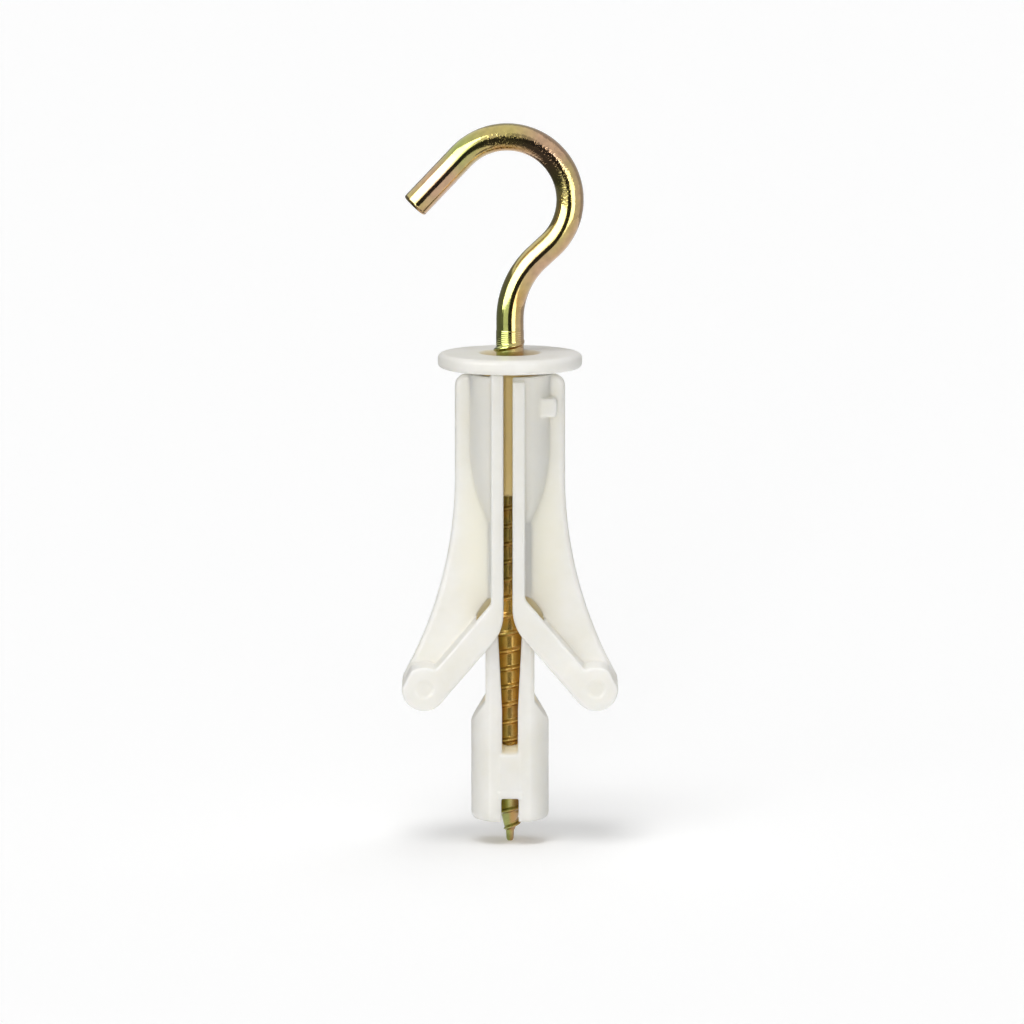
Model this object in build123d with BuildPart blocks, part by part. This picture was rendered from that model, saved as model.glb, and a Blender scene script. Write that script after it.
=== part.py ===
"""Butterfly anchor with a screw-in hook, for hollow walls and ceilings.

The frame: +Z points out of the wall along the screw, the origin lies on the axis in the plane of the
flange's underside (the wall face), +X goes through the right wing, and -Y is the front.  Millimetres.

Pieces: a flanged collar with a guide sleeve, two identical hinged wings, a slotted spreader nut and a
one-piece steel screw hook.  The screw turns in the collar, draws the nut up, and the nut's shoulders
push the wings apart.
"""
import os
from math import acos, asin, cos, degrees, radians, sin, sqrt, tan

from build123d import *
from build123d.topology import SkipClean

os.makedirs("parts", exist_ok=True)

through = 80.0                  # longer than any piece, for cuts that run right through

# ---- clearances ----
running_clearance = 0.05        # radial, turning shaft in its hole
hinge_side_clearance = 0.1      # between hinge tongue and ear, each face
wing_clearance = 0.2            # wing to what it closes around
neck_clearance = 0.15           # nut neck to the wing rims, front and back

# ---- screw hook ----
wire_radius = 1.9
crest_radius = 2.5              # envelope of the screw thread
thread_top_z = 3.3
thread_lead_in = 0.6
point_start_z = -60.4
point_end_radius = 1.15         # crests at the point's lower end
nib_start_z = -64.9
nib_end_z = -66.4
nib_radius = 0.62
nib_end_radius = 0.5
shank_top_z = 6.75
reverse_bend_radius = 11.7
hook_slope = 47.2               # degrees, the run between the two bends
hook_slope_length = 2.4
hook_radius = 8.7               # centreline of the main bend
hook_turn = 183.7               # degrees of the main bend
hook_leg_length = 9.5
hook_end_chamfer = 0.25

# ---- collar ----
wall_hole_radius = 8.0          # the wall lies on the flange outside this hole
flange_radius = 10.0
flange_thickness = 2.1
flange_rim_fillet = 0.7
countersink_radius = 4.2
countersink_depth = 1.8
sleeve_wall = 0.6
sleeve_length = 17.7
sleeve_end_chamfer = 0.35

# ---- hinge between collar and wing ----
pivot_x = 4.1
pivot_z = -2.8
swing_angle = 15.0              # degrees, how far a wing opens
trunnion_radius = 0.5
tongue_thickness = 1.4
tongue_wall = 0.2
ear_wall = 0.35
ear_thickness = 0.7
ear_root_x = 2.0

# ---- wing ----
wing_half_width = 7.65
wing_top_z = -0.8
wing_corner_radius = 1.7
plate_thickness = 2.0
plate_edge_fillet = 0.8
flare_start_z = -15.0
flare_radius = 58.0
flare_angle = 27.5              # degrees from the axis
flare_run = 1.0
tip_radius = 3.1
rim_depth = 6.8                 # half depth of the rims, front and back
rim_edge_chamfer = 0.2
rim_setback = 0.35              # the rims stand back from the flared edge
bar_width = 3.7
rim_angle = 40.5                # degrees from the axis, the sloping lower rim
rim_bend_radius = 6.5
rim_corner_radius = 1.0
tip_corner_radius = 0.5
strip_width = 1.74
near_strip_x = 0.35
far_strip_x = 0.9
near_strip_top_z = -1.3
far_strip_top_z = -0.3
housing_radius = 5.65           # half tube around the sleeve
housing_wall = 1.2
nose_start_z = -10.5
nose_radius = 25.0
nose_end_z = -21.6
channel_wall = 0.45
pocket_half_width = 4.8
pocket_drop = 0.72              # pocket centre below the corner of the near rim
pad_width = 2.3
pad_height = 2.6
pad_inner_x = 4.2
pad_top_z = -3.9
pad_depth = 3.9
pad_corner_radius = 0.5
mark_radius = 1.3
mark_depth = 0.2

# ---- nut ----
barrel_radius = 5.4
barrel_flat = 4.6               # half depth across the front and back flats
barrel_end_z = -63.2
barrel_end_fillet = 0.9
shoulder_low_z = -49.2
shoulder_high_z = -46.2
neck_half_width = 3.4
neck_top_z = -37.0
neck_lead_in_width = 0.9
neck_lead_in_height = 2.0
slot_top_half_width = 1.65
slot_half_width = 1.1
slot_taper_end_z = -47.5
slot_end_z = -53.7
slot_ramp_angle = 30.0          # degrees, the slope at the window's lower end
bridge_end_z = -59.8
bridge_panel_raise = 0.08
bridge_panel_margin = 0.3
bridge_lip_raise = 0.16
bridge_lip_height = 0.85
bridge_lip_margin = 0.5
low_slot_half_width = 1.2

# ---- derived values ----
bore_radius = crest_radius + running_clearance
sleeve_radius = bore_radius + sleeve_wall
wing_bore_radius = crest_radius + wing_clearance
tongue_radius = trunnion_radius + tongue_wall
ear_bore_radius = trunnion_radius + running_clearance
ear_radius = ear_bore_radius + ear_wall
ear_inner_y = tongue_thickness / 2 + hinge_side_clearance
ear_outer_y = ear_inner_y + ear_thickness
pocket_half_depth = barrel_flat + neck_clearance
channel_radius = wing_bore_radius + channel_wall

# wing outline, seen along +Y in the XZ plane
flare_direction = (sin(radians(flare_angle)), -cos(radians(flare_angle)))
flare_centre = (wing_half_width + flare_radius, flare_start_z)
flare_end = (
    flare_centre[0] - flare_radius * cos(radians(flare_angle)),
    flare_centre[1] - flare_radius * sin(radians(flare_angle)),
)
flare_tangent = (
    flare_end[0] + flare_run * flare_direction[0],
    flare_end[1] + flare_run * flare_direction[1],
)
tip_centre = (
    flare_tangent[0] + tip_radius * flare_direction[1],
    flare_tangent[1] - tip_radius * flare_direction[0],
)
rim_direction = (sin(radians(rim_angle)), -cos(radians(rim_angle)))
rim_tangent = (
    tip_centre[0] + tip_radius * rim_direction[1],
    tip_centre[1] - tip_radius * rim_direction[0],
)


def on_rim_line(start, x):
    """Point at x on the line through start that runs along the sloping rim."""
    return (x, start[1] + (x - start[0]) * rim_direction[1] / rim_direction[0])


# the pocket for the neck follows the corner between the near strip and the sloping bar
pocket_centre_z = on_rim_line(rim_tangent, near_strip_x)[1] - pocket_drop


def rim(inner_x, top_z, front):
    """One rim, from the mid plane out to the front (-Y) or the back (+Y), with a softened outer face.

    Its outline is a vertical strip, a bend, a sloping bar and the round tip.
    """
    outer_x = inner_x + strip_width
    setback_angle = degrees(acos(1 - rim_setback / tip_radius))
    setback_start = flare_angle - setback_angle
    setback_end = flare_angle + setback_angle
    bar_side_angle = 90 + rim_angle - degrees(asin(bar_width / tip_radius - 1))
    with BuildPart() as bar:
        with BuildSketch(Plane.XZ) as outline:
            with BuildLine():
                FilletPolyline(
                    (inner_x, top_z),
                    on_rim_line(rim_tangent, inner_x),
                    rim_tangent,
                    radius=rim_bend_radius,
                )
                under_tip = CenterArc(tip_centre, tip_radius, 180 + rim_angle, 180 - rim_angle + setback_start)
                over_tip = CenterArc(tip_centre, tip_radius, setback_end, bar_side_angle - setback_end)
                Line(under_tip @ 1, over_tip @ 0)
                bar_start = tuple(over_tip @ 1)
                FilletPolyline(
                    bar_start,
                    on_rim_line(bar_start, outer_x),
                    (outer_x, top_z),
                    radius=rim_corner_radius,
                )
                Line((outer_x, top_z), (inner_x, top_z))
            make_face()
            for corner in (under_tip @ 1, over_tip @ 0, over_tip @ 1):
                fillet(outline.vertices().sort_by_distance(corner)[0], tip_corner_radius)
        extrude(amount=rim_depth if front else -rim_depth)
        face = bar.faces().sort_by(Axis.Y)[0 if front else -1]
        chamfer(face.edges(), rim_edge_chamfer)
    return bar.part


def nose_line(radius, end_z):
    """Side of the half tube: straight down to the nose, then the nose arc down to end_z."""
    centre = (housing_radius - nose_radius, nose_start_z)
    arc_radius = radius - centre[0]
    sweep_angle = degrees(asin((nose_start_z - end_z) / arc_radius))
    Line((radius, wing_top_z), (radius, nose_start_z))
    return CenterArc(centre, arc_radius, 0, -sweep_angle)


def chamber():
    """Room inside the wings: the sleeve's chamber, the screw channel and the pocket for the neck."""
    inner_radius = housing_radius - housing_wall
    arc_centre_x = housing_radius - nose_radius
    drop = sqrt((inner_radius - arc_centre_x) ** 2 - (wing_bore_radius - arc_centre_x) ** 2)
    nose_inner_z = nose_start_z - drop
    with BuildPart() as room:
        with BuildSketch(Plane.XZ):
            with BuildLine():
                nose_line(inner_radius, nose_inner_z)
                Polyline(
                    (wing_bore_radius, nose_inner_z),
                    (wing_bore_radius, pocket_centre_z),
                    (0, pocket_centre_z),
                    (0, 0),
                    (inner_radius, 0),
                    (inner_radius, wing_top_z),
                )
            make_face()
        revolve(axis=Axis.Z)
        with BuildSketch(Plane.XZ):
            with Locations((0, pocket_centre_z)):
                Circle(pocket_half_width)
                Rectangle(2 * pocket_half_width, through, align=(Align.CENTER, Align.MAX))
        extrude(amount=pocket_half_depth, both=True)
    return room.part


def ear_room():
    """Room in a wing for the collar's ears, at rest and opened."""
    with BuildPart() as room:
        with BuildSketch(Plane.XZ):
            with Locations((pivot_x, pivot_z)):
                Circle(ear_radius + wing_clearance)
                Rectangle(
                    2 * (ear_radius + wing_clearance), -2 * pivot_z, align=(Align.CENTER, Align.MIN)
                )
        extrude(amount=ear_outer_y + wing_clearance, both=True)
    return room.part


# ---- screw hook: one bent wire, its thread shown as the crest envelope ----
with BuildPart() as screw_hook:
    with BuildLine(Plane.XZ) as wire:
        shank = Line((0, thread_top_z - thread_lead_in), (0, shank_top_z))
        low_bend = JernArc(shank @ 1, shank % 1, reverse_bend_radius, -hook_slope)
        run = PolarLine(low_bend @ 1, hook_slope_length, direction=low_bend % 1)
        main_bend = JernArc(run @ 1, run % 1, hook_radius, hook_turn)
        leg = PolarLine(main_bend @ 1, hook_leg_length, direction=main_bend % 1)
    with BuildSketch(Plane(wire.line @ 0, z_dir=wire.line % 0)):
        Circle(wire_radius)
    sweep()
    leg_end_face = screw_hook.faces().sort_by_distance(leg @ 1)[0]
    chamfer(leg_end_face.edges(), hook_end_chamfer)
    with BuildSketch(Plane.XZ):
        with BuildLine():
            Polyline(
                (0, thread_top_z),
                (wire_radius, thread_top_z),
                (crest_radius, thread_top_z - thread_lead_in),
                (crest_radius, point_start_z),
                (point_end_radius, nib_start_z),
                (nib_radius, nib_start_z),
                (nib_end_radius, nib_end_z),
                (0, nib_end_z),
                close=True,
            )
        make_face()
    revolve(axis=Axis.Z)

# ---- collar: flange, guide sleeve and the ears that carry the wings ----
with BuildPart() as collar:
    with BuildSketch(Plane.XZ):
        with BuildLine():
            Polyline(
                (bore_radius, flange_thickness - countersink_depth),
                (countersink_radius, flange_thickness),
                (wall_hole_radius, flange_thickness),
                (wall_hole_radius, 0),
                (sleeve_radius, 0),
                (sleeve_radius, -sleeve_length),
                (bore_radius, -sleeve_length),
                close=True,
            )
        make_face()
    revolve(axis=Axis.Z)
    chamfer(collar.faces().sort_by(Axis.Z)[0].outer_wire().edges(), sleeve_end_chamfer)
    lean = radians(swing_angle)
    ear_top_x = pivot_x + ear_radius / cos(lean) + pivot_z * tan(lean)
    for front in (-1, 1):
        for side in (-1, 1):
            with BuildSketch(Plane.XZ.offset(-front * ear_inner_y)):
                with Locations((side * pivot_x, pivot_z)):
                    Circle(ear_radius)
                with BuildLine():
                    Polyline(
                        (side * ear_root_x, 0),
                        (side * ear_top_x, 0),
                        (side * (pivot_x + ear_radius * cos(lean)), pivot_z + ear_radius * sin(lean)),
                        (side * pivot_x, pivot_z),
                        (side * ear_root_x, pivot_z),
                        close=True,
                    )
                make_face()
                with Locations((side * pivot_x, pivot_z)):
                    Circle(ear_bore_radius, mode=Mode.SUBTRACT)
            extrude(amount=-front * ear_thickness)
    with Locations((0, 0, -sleeve_length)):
        Cylinder(
            bore_radius,
            sleeve_length + flange_thickness - countersink_depth,
            align=(Align.CENTER, Align.CENTER, Align.MIN),
            mode=Mode.SUBTRACT,
        )
    # the outer ring comes last and uncleaned, so that its underside, the seat on the wall, stays one face
    with BuildSketch(Plane.XZ) as ring_section:
        with Locations((wall_hole_radius, 0)):
            Rectangle(flange_radius - wall_hole_radius, flange_thickness, align=Align.MIN)
        fillet(ring_section.vertices().group_by(Axis.X)[-1], flange_rim_fillet)
    with SkipClean():
        revolve(axis=Axis.Z)

# ---- wing: web plate with its hinge tongue ----
with BuildPart() as wing_plate:
    with BuildSketch(Plane.XZ):
        with BuildLine():
            FilletPolyline(
                (near_strip_x, wing_top_z),
                on_rim_line(rim_tangent, near_strip_x),
                rim_tangent,
                radius=rim_bend_radius,
            )
            CenterArc(tip_centre, tip_radius, 180 + rim_angle, 180 - rim_angle + flare_angle)
            Line(flare_tangent, flare_end)
            CenterArc(flare_centre, flare_radius, 180 + flare_angle, -flare_angle)
            FilletPolyline(
                (wing_half_width, flare_start_z),
                (wing_half_width, wing_top_z),
                (near_strip_x, wing_top_z),
                radius=wing_corner_radius,
            )
        make_face()
    extrude(amount=plate_thickness / 2, both=True)
    outer_edges = (
        wing_plate.edges()
        .filter_by_position(Axis.X, wing_half_width - wing_corner_radius, through)
        .filter_by(lambda edge: abs(edge.center().Y) > plate_thickness / 4)
    )
    fillet(outer_edges, plate_edge_fillet)
    add(chamber(), mode=Mode.SUBTRACT)
    add(ear_room(), mode=Mode.SUBTRACT)
    with BuildSketch(Plane.XZ):
        with Locations((pivot_x, pivot_z)):
            Circle(tongue_radius)
            Rectangle(
                housing_radius + strip_width - pivot_x,
                2 * tongue_radius,
                align=(Align.MIN, Align.CENTER),
            )
    extrude(amount=tongue_thickness / 2, both=True)
    with BuildSketch(Plane.XZ):
        with Locations((pivot_x, pivot_z)):
            Circle(trunnion_radius)
    extrude(amount=ear_outer_y, both=True)

# ---- wing: complete moulding, right side; the left one is the same piece turned half round ----
with BuildPart() as wing_right:
    add(rim(near_strip_x, near_strip_top_z, front=True))
    add(rim(far_strip_x, far_strip_top_z, front=False))
    with BuildSketch(Plane.XZ):
        with BuildLine():
            nose = nose_line(housing_radius, nose_end_z)
            Polyline(
                nose @ 1,
                (channel_radius, nose_end_z),
                (channel_radius, pocket_centre_z),
                (0, pocket_centre_z),
                (0, wing_top_z),
                (housing_radius, wing_top_z),
            )
        make_face()
    revolve(axis=Axis.Z)
    with BuildSketch(Plane.XZ):
        with Locations((pad_inner_x + pad_width / 2, pad_top_z - pad_height / 2)):
            RectangleRounded(pad_width, pad_height, pad_corner_radius)
    extrude(amount=pad_depth)
    add(chamber(), mode=Mode.SUBTRACT)
    add(ear_room(), mode=Mode.SUBTRACT)
    for front, inner_x in ((-1, near_strip_x), (1, far_strip_x)):
        with Locations((inner_x, 0, 0)):
            Box(
                through,
                through,
                2 * through,
                align=(Align.MAX, Align.MAX if front < 0 else Align.MIN, Align.CENTER),
                mode=Mode.SUBTRACT,
            )
    add(wing_plate.part)
    for front in (-1, 1):
        with BuildSketch(Plane.XZ.offset(-front * rim_depth)):
            with Locations(tip_centre):
                Circle(mark_radius)
        extrude(amount=front * mark_depth, mode=Mode.SUBTRACT)

with BuildPart() as wing_left:
    add(wing_right.part, rotation=(0, 0, 180))

# ---- nut: slotted neck, sloping shoulders and barrel ----
with BuildPart() as nut:
    with BuildSketch(Plane.XZ):
        with BuildLine():
            Polyline(
                (-barrel_radius, barrel_end_z),
                (barrel_radius, barrel_end_z),
                (barrel_radius, shoulder_low_z),
                (neck_half_width, shoulder_high_z),
                (neck_half_width, neck_top_z - neck_lead_in_height),
                (neck_half_width - neck_lead_in_width, neck_top_z),
                (-neck_half_width + neck_lead_in_width, neck_top_z),
                (-neck_half_width, neck_top_z - neck_lead_in_height),
                (-neck_half_width, shoulder_high_z),
                (-barrel_radius, shoulder_low_z),
                close=True,
            )
        make_face()
    extrude(amount=barrel_radius, both=True)
    with BuildSketch(Plane.XY.offset(barrel_end_z)) as barrel_section:
        Circle(barrel_radius)
        Rectangle(2 * barrel_radius, 2 * barrel_flat, mode=Mode.INTERSECT)
    extrude(amount=neck_top_z - barrel_end_z, mode=Mode.INTERSECT)
    fillet(nut.faces().sort_by(Axis.Z)[0].edges(), barrel_end_fillet)
    bridge_height = slot_end_z - bridge_end_z
    for front in (-1, 1):
        for margin, height, raise_by in (
            (bridge_panel_margin, bridge_height, bridge_panel_raise),
            (bridge_lip_margin, bridge_lip_height, bridge_lip_raise),
        ):
            with BuildSketch(Plane.XZ.offset(-front * barrel_flat)):
                with Locations((0, bridge_end_z)):
                    Rectangle(2 * (slot_half_width + margin), height, align=(Align.CENTER, Align.MIN))
            extrude(amount=-front * raise_by)
    with BuildSketch(Plane.XZ):
        with BuildLine():
            Polyline(
                (-slot_top_half_width, neck_top_z),
                (slot_top_half_width, neck_top_z),
                (slot_half_width, slot_taper_end_z),
                (slot_half_width, slot_end_z),
                (-slot_half_width, slot_end_z),
                (-slot_half_width, slot_taper_end_z),
                close=True,
            )
        make_face()
    extrude(amount=barrel_radius, both=True, mode=Mode.SUBTRACT)
    ramp_top_z = slot_end_z + barrel_flat * tan(radians(slot_ramp_angle))
    with BuildSketch(Plane.YZ):
        with BuildLine():
            Polyline((-barrel_flat, slot_end_z), (barrel_flat, slot_end_z), (0, ramp_top_z), close=True)
        make_face()
    extrude(amount=slot_half_width, both=True)
    with BuildSketch(Plane.XZ):
        with Locations((0, bridge_end_z)):
            Rectangle(2 * low_slot_half_width, bridge_end_z - barrel_end_z, align=(Align.CENTER, Align.MAX))
    extrude(amount=barrel_radius, both=True, mode=Mode.SUBTRACT)
    with Locations((0, 0, barrel_end_z)):
        Cylinder(
            bore_radius,
            neck_top_z - barrel_end_z,
            align=(Align.CENTER, Align.CENTER, Align.MIN),
            mode=Mode.SUBTRACT,
        )

pieces = {
    "screw_hook": screw_hook,
    "collar": collar,
    "wing_right": wing_right,
    "wing_left": wing_left,
    "nut": nut,
}
for name, piece in pieces.items():
    piece.part.label = name
    export_step(piece.part, f"parts/{name}.step")
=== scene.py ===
"""Looks of the butterfly anchor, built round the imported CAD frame.  Metres."""
from math import cos, pi, radians, sin, sqrt

import bmesh
import bpy
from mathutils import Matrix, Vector


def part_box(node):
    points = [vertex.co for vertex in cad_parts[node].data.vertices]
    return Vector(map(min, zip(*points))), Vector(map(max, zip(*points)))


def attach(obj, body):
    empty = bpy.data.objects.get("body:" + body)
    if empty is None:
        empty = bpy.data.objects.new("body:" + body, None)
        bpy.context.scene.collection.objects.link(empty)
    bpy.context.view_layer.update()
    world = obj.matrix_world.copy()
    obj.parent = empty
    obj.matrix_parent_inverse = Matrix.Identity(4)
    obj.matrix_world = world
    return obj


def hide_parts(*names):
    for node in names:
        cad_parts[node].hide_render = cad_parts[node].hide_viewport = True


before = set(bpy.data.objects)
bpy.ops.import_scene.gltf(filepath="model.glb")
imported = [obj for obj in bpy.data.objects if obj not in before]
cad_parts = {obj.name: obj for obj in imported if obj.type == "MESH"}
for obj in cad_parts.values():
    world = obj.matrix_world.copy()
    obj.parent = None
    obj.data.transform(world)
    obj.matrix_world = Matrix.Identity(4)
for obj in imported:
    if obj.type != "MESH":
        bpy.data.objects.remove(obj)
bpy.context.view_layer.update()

MM = 0.001
scene = bpy.context.scene
scene.view_settings.view_transform = "Standard"

# ---- sizes taken from the frame ----
screw_low, screw_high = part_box("screw_hook")
crest_radius = screw_high.y
tip_z = screw_low.z

# ---- screw hook: the same bends as the solid ----
wire_radius = 1.9 * MM
shank_top_z = 6.75 * MM
reverse_bend_radius = 11.7 * MM
hook_slope = radians(47.2)
hook_slope_length = 2.4 * MM
hook_radius = 8.7 * MM
hook_turn = radians(183.7)
hook_leg_length = 9.5 * MM
end_round = 0.3 * MM            # rounding of the cut end

# ---- thread, the grooves rolled above it, and the screw's point ----
thread_pitch = 2.5 * MM
thread_top_z = 2.8 * MM
thread_fade = 1.3 * MM          # half of the height over which the ridge dies out at the top
ridge_half_width = 0.42 * MM
ridge_crest_half_width = 0.06 * MM
rolled_top_z = 5.2 * MM
rolled_raise = 0.04 * MM
groove_depth = 0.012 * MM
groove_pitch = 0.28 * MM
point_start_z = -60.0 * MM
point_end_radius = 0.72 * MM
nib_start_z = -64.8 * MM
nib_radius = 0.60 * MM
nib_end_radius = 0.50 * MM
nib_round_share = 0.30          # share of the nib's height that its round end takes
nib_round_fall = 0.45           # share of the squared radius that is lost at the very tip
tip_fade_overlap = 0.2 * MM     # the ridge starts this far below the nib's upper end
tip_fade = 0.6 * MM

# ---- mesh steps ----
RING_SIDES = 56
END_RINGS = 4
THREAD_STEP = 0.07 * MM
WIRE_STEP = 0.25 * MM
WELD_DISTANCE = 0.001 * MM
FINE_VOXEL = 0.14 * MM
WING_VOXEL = 0.163 * MM         # keeps a wing under 200,000 triangles
FINE_SMOOTHING = 5
WING_SMOOTHING = 4

# ---- nylon: base colours, and where tan shade and glow are painted ----
NYLON_SHADE = (0.825, 0.81, 0.75)
NYLON_LIGHT = (0.885, 0.872, 0.832)
# painted warm shade: nylon near the screw's axis is painted yellower, standing in for warm shade and light
# through the translucent nylon in the recesses
PAINTED_WARM_SHADE = (0.87, 0.845, 0.745)
# painted tan shade, for the shaded insides seen through the wings' small holes and round the screw in the
# nut
PAINTED_TAN_SHADE = (0.98, 0.79, 0.43)
# painted glow: the collar's sleeve, deep in the slit between the wings, is painted bright tan for light
# through the translucent nylon and the gold screw's bounce
PAINTED_SLEEVE_GLOW = (1.0, 0.72, 0.30)
# painted shade: darker round the screw in the flange's dished hole
PAINTED_HOLE_SHADE = (0.41, 0.37, 0.26)

# every span is (tint whole, tint gone), in millimetres
PAINTED_WARM_SHADE_REACH = (3.5, 7.8)         # distances from the screw's axis; this one for the painted warm shade
PAINTED_SLEEVE_GLOW_REACH = (3.2, 4.4)
PAINTED_HOLE_SHADE_REACH = (2.5, 4.6)
PAINTED_NUT_SHADE_REACH = (2.4, 4.5)
PAINTED_HOLE_SHADE_Z = (0.6, 0.0)             # heights of the painted hole shade: the flange starts at 0; the sleeve below keeps its own painted tint
# the wing's small hole above the bar, where tan shade is painted
POCKET_WALL_Y = (0.7, 0.9)      # the hole's walls, through the plate
POCKET_RIM_Y = (5.8, 6.4)       # the far rim's inside, seen through the hole
POCKET_INWARD_Y = (-1.2, -0.5)  # Y times the normal's Y, negative where a face looks inward
POCKET_X = (5.4, 6.4)
POCKET_LOW_Z = (-37.5, -39.0)
POCKET_HIGH_Z = (-32.8, -31.5)
# how strongly the painted tan shade covers the hole
POCKET_PAINTED_SHADE = 0.55

# ---- yellow zinc: base colours, and places as (centre, radius) in millimetres ----
ZINC_OLIVE = (0.54, 0.44, 0.14)
# green for random patches, and painted on the shank's left-facing side as a reflection tint
ZINC_GREEN = (0.40, 0.43, 0.11)
# pink for random patches, and painted on right-facing sides as a reflection tint
ZINC_PINK = (0.56, 0.355, 0.21)
# painted reflection tint on downward-facing sides
PAINTED_UNDERSIDE_COPPER = (0.55, 0.31, 0.09)
# painted warm reflection and shade on the screw inside the nylon
PAINTED_INSIDE_BROWN = (0.70, 0.41, 0.08)
FINE_DARK = (0.80, 0.80, 0.80)
FINE_LIGHT = (1.0, 1.0, 1.0)
GREEN_SPOTS = [((-8.0, -1.0, 30.0), 5.5)]
PINK_SPOTS = [((6.0, -1.0, 31.5), 6.0), ((-9.5, -1.2, 25.5), 5.0), ((5.5, -1.2, 13.0), 5.0)]
WORN_SPOTS = [((0.0, -1.7, 31.0), 4.5), ((4.5, -1.7, 29.8), 4.0), ((7.4, -1.7, 26.0), 4.0)]
PAINTED_SHANK_GREEN_Z = (9.0, 14.0)     # painted reflection tint: green on the shank's left-facing side
PAINTED_BROWN_TOP_Z = (-20.0, -16.0)    # brown painted on the threaded part inside the anchor, down to the point: painted warm reflection and shade
PAINTED_BROWN_END_Z = (-57.0, -60.0)
DULL_TOP_Z = 0.0                # the plating turns duller down the hole, between these heights
DULL_WHOLE_Z = -8.0 * MM
DULL_METALLIC = 0.72
DULL_ROUGHNESS = 0.12           # added to the bright plating's

# ---- stage, light and camera ----
FLOOR_COLOUR = (0.98, 0.98, 0.98)
FLOOR_GLOW = 0.14
FLOOR_REACH = 4.0
FLOOR_GAP = 0.03 * MM           # between the floor and the screw's tip
WORLD_LIGHT = 0.17
PANEL_DISTANCE = 0.34
PANEL_COLUMNS = 16
PANEL_ROWS = 8
PANEL_LIFT = 0.3 * MM           # lowest edge of a panel over the floor
PANEL_STEP = 0.001 * MM         # brighter panels end a little higher, so that no two share a plane
FLOOR_PANEL_LIFT = 0.2 * MM
VIEW_CENTRE = Vector((0.28 * MM, 0, -20.2 * MM))
VIEW_WIDTH = 0.1422
CAMERA_DISTANCE = 1.2
CAMERA_ELEVATION = 7.66
SENSOR_WIDTH = 36.0


# ================= node helpers =================
def new_material(name):
    """Material with its tree emptied, and the tree."""
    material = bpy.data.materials.new(name)
    material.use_nodes = True
    material.node_tree.nodes.clear()
    return material, material.node_tree


def finish_material(tree, shader):
    """Links a shader node to the surface."""
    output = tree.nodes.new("ShaderNodeOutputMaterial")
    tree.links.new(shader.outputs[0], output.inputs["Surface"])


def noise(tree, place, scale, detail, roughness=0.5):
    """Factor of a noise texture; scale is in repeats per metre."""
    node = tree.nodes.new("ShaderNodeTexNoise")
    node.inputs["Scale"].default_value = scale
    node.inputs["Detail"].default_value = detail
    node.inputs["Roughness"].default_value = roughness
    tree.links.new(place, node.inputs["Vector"])
    return node.outputs["Fac"]


def ramp(tree, factor, low, low_colour, high, high_colour):
    """Colour that runs from one to the other as the factor goes from low to high."""
    node = tree.nodes.new("ShaderNodeValToRGB")
    stops = ((low, low_colour), (high, high_colour))
    for element, (position, colour) in zip(node.color_ramp.elements, stops):
        element.position = position
        element.color = (*colour, 1.0)
    tree.links.new(factor, node.inputs["Fac"])
    return node.outputs["Color"]


def mix_colour(tree, factor, first, second, blend="MIX"):
    """Mixes two colours; each input is a socket or a constant."""
    node = tree.nodes.new("ShaderNodeMix")
    node.data_type = "RGBA"
    node.blend_type = blend
    used = [socket for socket in node.inputs if socket.enabled]
    for name, value in (("Factor", factor), ("A", first), ("B", second)):
        socket = next(s for s in used if s.name == name and s.type in ("RGBA", "VALUE"))
        if isinstance(value, bpy.types.NodeSocket):
            tree.links.new(value, socket)
        elif name == "Factor":
            socket.default_value = value
        else:
            socket.default_value = (*value, 1.0)
    return next(s for s in node.outputs if s.enabled)


def combine(tree, operation, first, second):
    """Two values put through a math node; each is a socket or a number."""
    node = tree.nodes.new("ShaderNodeMath")
    node.operation = operation
    for socket, value in zip(node.inputs, (first, second)):
        if isinstance(value, bpy.types.NodeSocket):
            tree.links.new(value, socket)
        else:
            socket.default_value = value
    return node.outputs[0]


def stretch(tree, value, low, high, to_low=0.0, to_high=1.0):
    """Value mapped from low..high to to_low..to_high, clamped."""
    node = tree.nodes.new("ShaderNodeMapRange")
    node.inputs["From Min"].default_value = low
    node.inputs["From Max"].default_value = high
    node.inputs["To Min"].default_value = to_low
    node.inputs["To Max"].default_value = to_high
    tree.links.new(value, node.inputs["Value"])
    return node.outputs["Result"]


def split(tree, vector):
    """X, Y and Z of a vector socket."""
    node = tree.nodes.new("ShaderNodeSeparateXYZ")
    tree.links.new(vector, node.inputs[0])
    return node.outputs


def bump(tree, height, strength, distance):
    """Bump normal from a height socket."""
    node = tree.nodes.new("ShaderNodeBump")
    node.inputs["Strength"].default_value = strength
    node.inputs["Distance"].default_value = distance
    tree.links.new(height, node.inputs["Height"])
    return node.outputs["Normal"]


# ================= masks =================
def fade(tree, value, span):
    """Mask that is 1 at the first number of the span and 0 at the second, both in millimetres."""
    whole, gone = span
    return stretch(tree, value, gone * MM, whole * MM)


def widest(tree, masks):
    """The highest of the masks at each point."""
    union = masks[0]
    for mask in masks[1:]:
        union = combine(tree, "MAXIMUM", union, mask)
    return union


def product(tree, masks):
    """The masks multiplied; one may be a number."""
    result = masks[0]
    for mask in masks[1:]:
        result = combine(tree, "MULTIPLY", result, mask)
    return result


def blob(tree, place, centre, radius):
    """Soft round patch about centre, in millimetres."""
    node = tree.nodes.new("ShaderNodeVectorMath")
    node.operation = "DISTANCE"
    tree.links.new(place, node.inputs[0])
    node.inputs[1].default_value = Vector(centre) * MM
    whole_share = 0.35
    return stretch(tree, node.outputs["Value"], radius * MM, radius * whole_share * MM)


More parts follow.
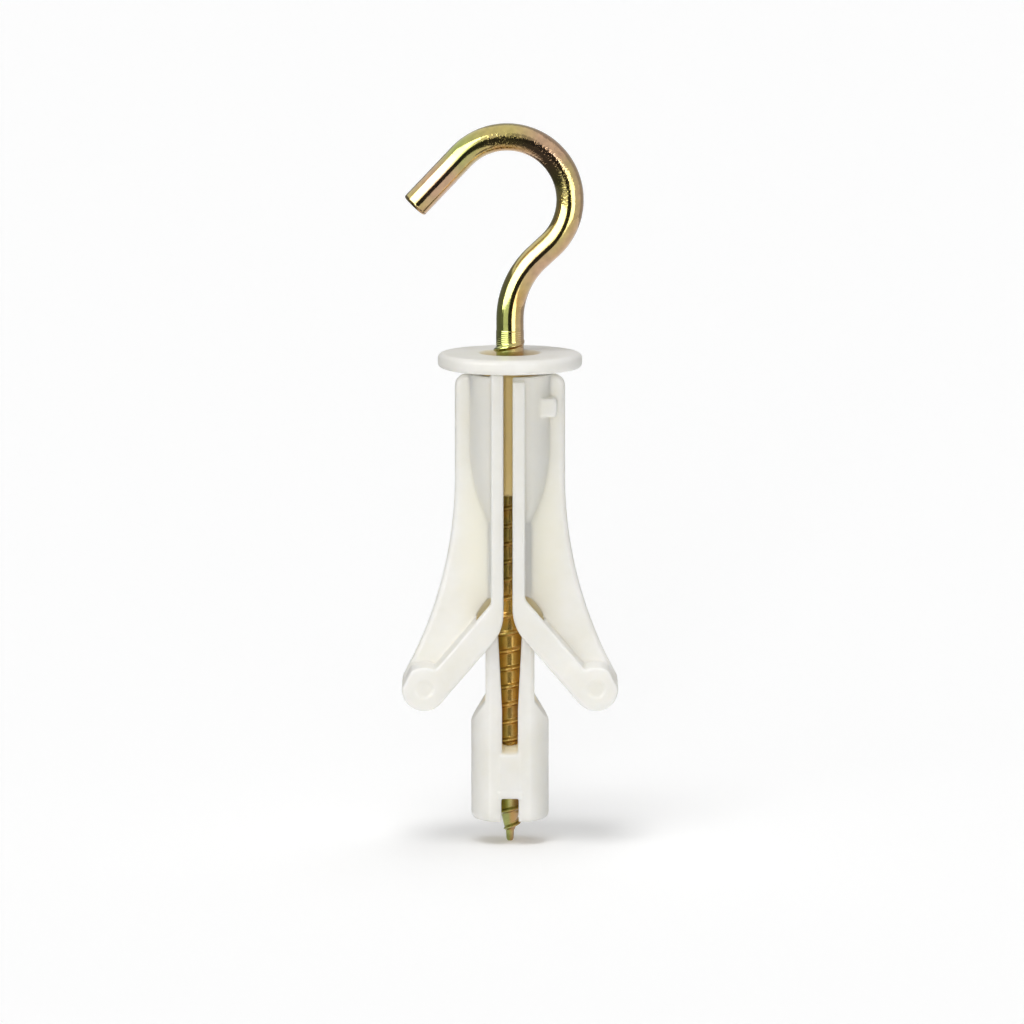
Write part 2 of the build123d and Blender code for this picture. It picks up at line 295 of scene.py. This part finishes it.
def near_axis(reach, heights=None):
    """Function that makes a mask: 1 near the screw's axis, and only at some heights if they are given."""

    def mask(tree, place):
        x, y, z = split(tree, place)
        squared = combine(tree, "ADD", combine(tree, "POWER", x, 2.0), combine(tree, "POWER", y, 2.0))
        whole, gone = reach
        near = stretch(tree, squared, (gone * MM) ** 2, (whole * MM) ** 2)
        return product(tree, [near, fade(tree, z, heights)]) if heights else near

    return mask


def painted_pocket_shade(tree, place):
    """Mask of the painted tan shade in the wing's small hole above the bar: its walls and the far rim's
    inside.
    """
    x, y, z = split(tree, place)
    depth = combine(tree, "ABSOLUTE", y, 0.0)
    walls = fade(tree, depth, POCKET_WALL_Y)
    _, facing_y, _ = split(tree, tree.nodes.new("ShaderNodeTexCoord").outputs["Normal"])
    inward = fade(tree, combine(tree, "MULTIPLY", y, facing_y), POCKET_INWARD_Y)
    rim = product(tree, [inward, fade(tree, depth, POCKET_RIM_Y)])
    across = fade(tree, combine(tree, "ABSOLUTE", x, 0.0), POCKET_X)
    heights = [fade(tree, z, POCKET_LOW_Z), fade(tree, z, POCKET_HIGH_Z)]
    return product(tree, [widest(tree, [walls, rim]), POCKET_PAINTED_SHADE, across, *heights])


# ================= materials =================
def make_nylon(name, *tints, subsurface=0.9):
    """Natural white nylon: bright, slightly translucent, softly glossy, with faint flow clouding.

    Painted shade and glow: deep inside the mouldings the colour is painted tan, and warmer towards there,
    standing in for shade and for light through the translucent nylon; each tint is a mask and a colour.
    """
    material, tree = new_material(name)
    shader = tree.nodes.new("ShaderNodeBsdfPrincipled")
    place = tree.nodes.new("ShaderNodeTexCoord").outputs["Object"]
    clouds = noise(tree, place, scale=180.0, detail=4.0, roughness=0.55)
    tint = ramp(tree, clouds, 0.30, NYLON_SHADE, 0.70, NYLON_LIGHT)
    for mask, colour in tints:
        tint = mix_colour(tree, mask(tree, place), tint, colour)
    tree.links.new(tint, shader.inputs["Base Color"])
    shader.inputs["Subsurface Weight"].default_value = subsurface
    shader.inputs["Subsurface Radius"].default_value = (1.0, 0.96, 0.88)
    shader.inputs["Subsurface Scale"].default_value = 2.4 * MM
    shader.inputs["IOR"].default_value = 1.5
    shader.inputs["Specular IOR Level"].default_value = 0.4
    gloss = noise(tree, place, scale=900.0, detail=2.0)
    roughness = stretch(tree, gloss, 0.0, 1.0, to_low=0.34, to_high=0.46)
    tree.links.new(roughness, shader.inputs["Roughness"])
    waves = combine(tree, "MULTIPLY", noise(tree, place, scale=240.0, detail=2.0), 3.0)
    relief = combine(tree, "ADD", noise(tree, place, scale=700.0, detail=3.0), waves)
    normal = bump(tree, relief, strength=0.08, distance=0.1 * MM)
    tree.links.new(normal, shader.inputs["Normal"])
    finish_material(tree, shader)
    return material


def zinc_colour(tree, place, facing, height):
    """Olive gold with green and pink patches; painted reflection tints: copper on undersides, pink on
    right-facing sides, green on the shank's left; painted brown reflection and shade on the threaded part
    inside the anchor.
    """
    facing_x, _, facing_z = split(tree, facing)
    drift = noise(tree, place, scale=150.0, detail=2.0, roughness=0.45)
    drift = stretch(tree, drift, 0.3, 0.7, to_low=-0.4, to_high=0.4)
    # painted reflection tint: pink on right-facing sides
    right_side = stretch(tree, combine(tree, "ADD", facing_x, drift), 0.15, 0.8, to_high=0.75)
    # painted reflection tint: copper on downward-facing sides
    under_side = stretch(tree, combine(tree, "ADD", facing_z, drift), -0.02, -0.55)
    # painted reflection tint: green on the shank's left-facing side
    left_side = stretch(tree, facing_x, 0.15, -0.2)
    patches = noise(tree, place, scale=210.0, detail=2.0, roughness=0.4)
    patches = stretch(tree, patches, 0.54, 0.66, to_high=0.7)
    green = [product(tree, [fade(tree, height, PAINTED_SHANK_GREEN_Z), left_side]), patches]
    green += [blob(tree, place, centre, radius) for centre, radius in GREEN_SPOTS]
    pink = [right_side] + [blob(tree, place, centre, radius) for centre, radius in PINK_SPOTS]
    streaks = noise(tree, place, scale=420.0, detail=2.0, roughness=0.5)
    streaks = stretch(tree, streaks, 0.35, 0.65, to_low=0.45)
    # painted brown: warm reflection and shade where the screw runs inside the anchor
    brown = [fade(tree, height, PAINTED_BROWN_TOP_Z), fade(tree, height, PAINTED_BROWN_END_Z), streaks]
    colour = mix_colour(tree, under_side, ZINC_OLIVE, PAINTED_UNDERSIDE_COPPER)
    colour = mix_colour(tree, widest(tree, green), colour, ZINC_GREEN)
    colour = mix_colour(tree, widest(tree, pink), colour, ZINC_PINK)
    colour = mix_colour(tree, product(tree, brown), colour, PAINTED_INSIDE_BROWN)
    fine = noise(tree, place, scale=1100.0, detail=3.0)
    fine = ramp(tree, fine, 0.3, FINE_DARK, 0.7, FINE_LIGHT)
    return mix_colour(tree, 1.0, colour, fine, "MULTIPLY")


def make_zinc():
    """Yellow zinc plated steel: glossy and mottled, pitted where worn, and duller inside the anchor."""
    material, tree = new_material("yellow_zinc")
    shader = tree.nodes.new("ShaderNodeBsdfPrincipled")
    coordinates = tree.nodes.new("ShaderNodeTexCoord")
    place = coordinates.outputs["Object"]
    _, _, height = split(tree, place)
    colour = zinc_colour(tree, place, coordinates.outputs["Normal"], height)
    tree.links.new(colour, shader.inputs["Base Color"])
    metallic = stretch(tree, height, DULL_TOP_Z, DULL_WHOLE_Z, to_low=1.0, to_high=DULL_METALLIC)
    tree.links.new(metallic, shader.inputs["Metallic"])
    shader.inputs["Coat Weight"].default_value = 0.8
    shader.inputs["Coat Roughness"].default_value = 0.10
    gloss = noise(tree, place, scale=500.0, detail=3.0)
    gloss = stretch(tree, gloss, 0.2, 0.8, to_low=0.08, to_high=0.14)
    dull = stretch(tree, height, DULL_TOP_Z, DULL_WHOLE_Z, to_high=DULL_ROUGHNESS)
    tree.links.new(combine(tree, "ADD", gloss, dull), shader.inputs["Roughness"])
    worn = widest(tree, [blob(tree, place, centre, radius) for centre, radius in WORN_SPOTS])
    pits = noise(tree, place, scale=3200.0, detail=1.0)
    pits = stretch(tree, pits, 0.5, 0.7, to_high=2.5)
    grain = noise(tree, place, scale=1600.0, detail=2.0)
    relief = combine(tree, "ADD", grain, product(tree, [worn, pits]))
    normal = bump(tree, relief, strength=0.15, distance=0.05 * MM)
    tree.links.new(normal, shader.inputs["Normal"])
    finish_material(tree, shader)
    return material


# the wings get painted warm shade near the axis and painted tan shade in their small holes
nylon = make_nylon("natural_nylon", (near_axis(PAINTED_WARM_SHADE_REACH), PAINTED_WARM_SHADE), (painted_pocket_shade, PAINTED_TAN_SHADE))
collar_nylon = make_nylon(
    "collar_nylon",
    # the sleeve's painted glow
    (near_axis(PAINTED_SLEEVE_GLOW_REACH), PAINTED_SLEEVE_GLOW),
    # the painted shade round the screw in the dished hole
    (near_axis(PAINTED_HOLE_SHADE_REACH, PAINTED_HOLE_SHADE_Z), PAINTED_HOLE_SHADE),
    subsurface=0.4,
)
# painted tan shade on the nut's faces near the screw, inside its slot
nut_nylon = make_nylon("nut_nylon", (near_axis(PAINTED_NUT_SHADE_REACH), PAINTED_TAN_SHADE))
zinc = make_zinc()


# ================= screw hook =================
def heading_vector(heading):
    """Unit vector in the XZ plane, heading from +X."""
    return Vector((cos(heading), 0, sin(heading)))


def hook_path():
    """Centreline from the nib's tip up the screw and round the hook, as (point, heading)."""
    path = []
    z = tip_z
    while z < rolled_top_z + WIRE_STEP:
        path.append((Vector((0, 0, z)), pi / 2))
        z += THREAD_STEP
    straight_steps = int((shank_top_z - z) / WIRE_STEP) + 1
    for step in range(straight_steps):
        path.append((Vector((0, 0, z + (shank_top_z - z) * step / straight_steps)), pi / 2))

    def arc(centre, radius, start, turn):
        steps = int(abs(turn) * radius / WIRE_STEP)
        side = 1 if turn > 0 else -1
        for step in range(steps + 1):
            angle = start + turn * step / steps
            point = Vector((centre[0] + radius * cos(angle), 0, centre[1] + radius * sin(angle)))
            path.append((point, angle + side * pi / 2))

    def line(length):
        start, heading = path[-1]
        steps = int(length / WIRE_STEP)
        for step in range(1, steps + 1):
            reach = length * step / steps
            path.append((start + heading_vector(heading) * reach, heading))

    arc((reverse_bend_radius, shank_top_z), reverse_bend_radius, pi, -hook_slope)
    line(hook_slope_length)
    # the hook's arc starts at the slope's last point
    start, heading = path.pop()
    centre = (start.x - hook_radius * sin(heading), start.z + hook_radius * cos(heading))
    arc(centre, hook_radius, heading - pi / 2, hook_turn)
    line(hook_leg_length)
    return path


def clamp(value):
    """Value held between 0 and 1."""
    return max(0.0, min(1.0, value))


def core_radius(z):
    """Radius of the screw's core at height z: rounded nib, tapered point, rolled shank, plain wire."""
    if z < nib_start_z:
        rise = (z - tip_z) / (nib_start_z - tip_z)
        side = nib_end_radius + (nib_radius - nib_end_radius) * rise
        return side * sqrt(1 - max(0.0, 1 - rise / nib_round_share) ** 2 * nib_round_fall)
    if z < point_start_z:
        rise = (z - nib_start_z) / (point_start_z - nib_start_z)
        return point_end_radius + (wire_radius - point_end_radius) * min(1.0, rise)
    if z < rolled_top_z:
        groove = groove_depth * sin(2 * pi * z / groove_pitch) if z > thread_top_z else 0.0
        return wire_radius + rolled_raise + groove
    return wire_radius


def ridge_height(z, angle):
    """Height of the thread's ridge over the core, right-handed, fading out at both ends."""
    turns = z / thread_pitch - angle / (2 * pi)
    offset = abs((turns % 1.0) - 0.5) * thread_pitch
    slope = clamp((ridge_half_width - offset) / (ridge_half_width - ridge_crest_half_width))
    profile = slope * slope * (3 - 2 * slope)
    fade_top = clamp((thread_top_z + thread_fade - z) / (2 * thread_fade))
    fade_tip = clamp((z - nib_start_z + tip_fade_overlap) / tip_fade)
    return profile * min(fade_top, fade_tip) * (crest_radius - wire_radius)


def add_ring(mesh, point, heading, radius_at):
    """Ring of points across the wire; radius_at gives its radius at an angle."""
    outward = Vector((sin(heading), 0, -cos(heading)))
    ring = []
    for side in range(RING_SIDES):
        angle = 2 * pi * side / RING_SIDES
        offset = outward * cos(angle) + Vector((0, 1, 0)) * sin(angle)
        ring.append(mesh.verts.new(point + offset * radius_at(angle)))
    return ring


def radius_along(point, heading):
    """Function from angle to radius at a point of the path."""
    if abs(heading - pi / 2) < 1e-6 and point.z < shank_top_z:
        return lambda angle: core_radius(point.z) + ridge_height(point.z, angle)
    return lambda angle: wire_radius


def link_object(name, data):
    """Object in the scene that shows the data."""
    thing = bpy.data.objects.new(name, data)
    scene.collection.objects.link(thing)
    return thing


def make_screw_hook():
    """One swept skin: threaded screw, shank, bends and the cut end."""
    mesh = bmesh.new()
    path = hook_path()
    rings = [add_ring(mesh, point, heading, radius_along(point, heading)) for point, heading in path]
    end, heading = path[-1]
    along = heading_vector(heading)
    # the rounding starts one rounding radius back from the end
    for vert in rings[-1]:
        vert.co -= along * end_round
    for step in range(1, END_RINGS + 1):
        turn = pi / 2 * step / END_RINGS
        radius = wire_radius - end_round * (1 - cos(turn))
        shift = end_round * sin(turn) - end_round
        rings.append(add_ring(mesh, end + along * shift, heading, lambda angle: radius))
    for lower, upper in zip(rings, rings[1:]):
        for side in range(RING_SIDES):
            other = (side + 1) % RING_SIDES
            mesh.faces.new((lower[side], lower[other], upper[other], upper[side]))
    mesh.faces.new(list(reversed(rings[0])))
    mesh.faces.new(rings[-1])
    bmesh.ops.recalc_face_normals(mesh, faces=mesh.faces)
    data = bpy.data.meshes.new("screw_hook_skin")
    mesh.to_mesh(data)
    mesh.free()
    data.shade_smooth()
    data.materials.append(zinc)
    return link_object("screw_hook_skin", data)


screw_skin = make_screw_hook()
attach(screw_skin, "screw")
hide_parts("screw_hook")


# ================= nylon mouldings =================
def moulded(node, voxel, smoothing, material):
    """Skin of a moulded nylon piece: the node's own form, remeshed so that its edges are softly rounded."""
    name = node + "_skin"
    piece = link_object(name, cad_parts[node].data.copy())
    weld = piece.modifiers.new("weld", "WELD")
    weld.merge_threshold = WELD_DISTANCE
    remesh = piece.modifiers.new("remesh", "REMESH")
    remesh.mode = "VOXEL"
    remesh.voxel_size = voxel
    remesh.use_smooth_shade = True
    smooth = piece.modifiers.new("smooth", "SMOOTH")
    smooth.factor = 0.5
    smooth.iterations = smoothing
    bpy.context.view_layer.update()
    evaluated = piece.evaluated_get(bpy.context.evaluated_depsgraph_get())
    data = bpy.data.meshes.new_from_object(evaluated)
    piece.modifiers.clear()
    piece.data = data
    data.name = name
    data.materials.clear()
    data.materials.append(material)
    data.shade_smooth()
    return piece


for node, voxel, smoothing, material in (
    ("collar", FINE_VOXEL, FINE_SMOOTHING, collar_nylon),
    ("wing_right", WING_VOXEL, WING_SMOOTHING, nylon),
    ("wing_left", WING_VOXEL, WING_SMOOTHING, nylon),
    ("nut", FINE_VOXEL, FINE_SMOOTHING, nut_nylon),
):
    skin = moulded(node, voxel, smoothing, material)
    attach(skin, node)
    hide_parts(node)


# ================= stage, light and camera =================
floor_z = tip_z - FLOOR_GAP


def aim(thing, target):
    """Turns a lamp or camera to face the target."""
    direction = Vector(target) - thing.location
    thing.rotation_mode = "QUATERNION"
    thing.rotation_quaternion = direction.to_track_quat("-Z", "Y")


def direction_of(azimuth, elevation):
    """Unit vector; azimuth in degrees from the front (-Y), positive to the right (+X)."""
    a, e = radians(azimuth), radians(elevation)
    return Vector((sin(a) * cos(e), -cos(a) * cos(e), sin(e)))


def white_glow(tree, kind):
    """White emission or background node."""
    glow = tree.nodes.new(kind)
    glow.inputs["Color"].default_value = (1, 1, 1, 1)
    return glow


def make_floor():
    """Pale floor at the screw's tip: it keeps the shadow, and glows a little to the eye, up to white."""
    material, tree = new_material("pale_floor")
    rays = tree.nodes.new("ShaderNodeLightPath").outputs
    diffuse = tree.nodes.new("ShaderNodeBsdfDiffuse")
    diffuse.inputs["Color"].default_value = (*FLOOR_COLOUR, 1)
    glow = white_glow(tree, "ShaderNodeEmission")
    seen = combine(tree, "MAXIMUM", rays["Is Camera Ray"], rays["Is Glossy Ray"])
    tree.links.new(combine(tree, "MULTIPLY", seen, FLOOR_GLOW), glow.inputs["Strength"])
    both = tree.nodes.new("ShaderNodeAddShader")
    tree.links.new(diffuse.outputs[0], both.inputs[0])
    tree.links.new(glow.outputs[0], both.inputs[1])
    finish_material(tree, both)
    data = bpy.data.meshes.new("floor")
    corners = [(-1, -1), (1, -1), (1, 1), (-1, 1)]
    points = [(x * FLOOR_REACH, y * FLOOR_REACH, floor_z) for x, y in corners]
    data.from_pydata(points, [], [(0, 1, 2, 3)])
    data.materials.append(material)
    link_object("floor", data)


def make_world():
    """White to the camera, to reflections and through glass; gentler as light."""
    world = bpy.data.worlds.new("studio")
    scene.world = world
    world.use_nodes = True
    tree = world.node_tree
    tree.nodes.clear()
    rays = tree.nodes.new("ShaderNodeLightPath").outputs
    seen = combine(tree, "MAXIMUM", rays["Is Camera Ray"], rays["Is Glossy Ray"])
    seen = combine(tree, "MAXIMUM", seen, rays["Is Transmission Ray"])
    background = white_glow(tree, "ShaderNodeBackground")
    tree.links.new(stretch(tree, seen, 0.0, 1.0, to_low=WORLD_LIGHT), background.inputs["Strength"])
    output = tree.nodes.new("ShaderNodeOutputWorld")
    tree.links.new(background.outputs[0], output.inputs["Surface"])


def make_sun(name, azimuth, elevation, size, strength):
    """Broad even light from one side; reflections show the panels instead of it."""
    lamp = bpy.data.lights.new(name, "SUN")
    lamp.angle = radians(size)
    lamp.energy = strength * pi
    sun = link_object(name, lamp)
    sun.location = VIEW_CENTRE + direction_of(azimuth, elevation)
    sun.visible_glossy = False
    aim(sun, VIEW_CENTRE)


def between(ends, step, steps):
    """Value that lies step of steps on the way from one end to the other."""
    return ends[0] + (ends[1] - ends[0]) * step / steps


def make_reflection(name, rows, brightness):
    """Glowing sheet through rows of points that only reflections see."""
    material, tree = new_material(name)
    glow = white_glow(tree, "ShaderNodeEmission")
    glow.inputs["Strength"].default_value = brightness
    finish_material(tree, glow)
    width = len(rows[0])
    faces = []
    for row in range(len(rows) - 1):
        for column in range(width - 1):
            start = row * width + column
            faces.append((start, start + 1, start + width + 1, start + width))
    data = bpy.data.meshes.new(name)
    data.from_pydata([point for row in rows for point in row], [], faces)
    data.materials.append(material)
    sheet = link_object(name, data)
    sheet.visible_camera = False
    sheet.visible_diffuse = False
    sheet.visible_transmission = False
    sheet.visible_volume_scatter = False
    sheet.visible_shadow = False


def make_panel(name, azimuths, elevations, brightness, distance=PANEL_DISTANCE):
    """Curved studio panel round the object; what would dip under the floor is laid just over it."""
    lowest = floor_z + PANEL_LIFT + PANEL_STEP * brightness
    rows = []
    for row in range(PANEL_ROWS + 1):
        elevation = between(elevations, row, PANEL_ROWS)
        points = []
        for column in range(PANEL_COLUMNS + 1):
            point = direction_of(between(azimuths, column, PANEL_COLUMNS), elevation) * distance
            point.z = max(point.z, lowest)
            points.append(point)
        rows.append(points)
    make_reflection(name, rows, brightness)


def make_floor_panel(name, azimuths, distances, brightness):
    """Dark part of the floor round the object that only reflections see."""
    rows = []
    for distance in distances:
        points = []
        for column in range(PANEL_COLUMNS + 1):
            point = direction_of(between(azimuths, column, PANEL_COLUMNS), 0) * distance
            point.z = floor_z + FLOOR_PANEL_LIFT
            points.append(point)
        rows.append(points)
    make_reflection(name, rows, brightness)


make_floor()
make_world()
# name, azimuth, elevation, size in degrees, strength
make_sun("key", -16, 20, 60, 0.15)
make_sun("front", -3, 8, 14, 0.25)
make_sun("top", -18, 71, 28, 0.40)
make_sun("top_back", 160, 76, 36, 0.19)
make_sun("back_fill", 165, 25, 80, 0.09)
# name, azimuths, elevations, brightness, distance
make_panel("panel_front_dark", (-22, 15), (-40, 18), 0.03)
make_panel("panel_front_mid", (0, 18), (18, 42), 0.45)
make_panel("panel_softbox", (-74, -18), (2, 44), 6.0, 0.33)
make_panel("panel_softbox_corner", (-18, -10), (5, 20), 2.5, 0.331)
make_panel("panel_softbox_low", (-53, -17), (-13, 2), 1.1, 0.33)
make_panel("panel_right_strip", (16, 44), (-16, 16), 4.2, 0.33)
make_panel("panel_right_side", (44, 100), (-40, 40), 0.85, 0.335)
make_panel("panel_right_back", (100, 200), (-40, 60), 0.50, 0.336)
make_panel("panel_left_side", (-160, -58), (-40, 26), 0.20)
# name, azimuths, distances from the screw's axis, brightness
make_floor_panel("floor_front_dark", (-160, 14), (0.07, 0.36), 0.07)
make_floor_panel("floor_near_dark", (-100, 60), (0.04, 0.07), 0.30)

camera_data = bpy.data.cameras.new("camera")
camera_data.sensor_width = SENSOR_WIDTH
camera_data.lens = SENSOR_WIDTH * CAMERA_DISTANCE / VIEW_WIDTH
camera_data.clip_start = 0.01
camera_data.clip_end = 20.0
camera = link_object("camera", camera_data)
camera.location = VIEW_CENTRE + CAMERA_DISTANCE * direction_of(0, CAMERA_ELEVATION)
aim(camera, VIEW_CENTRE)
scene.camera = camera
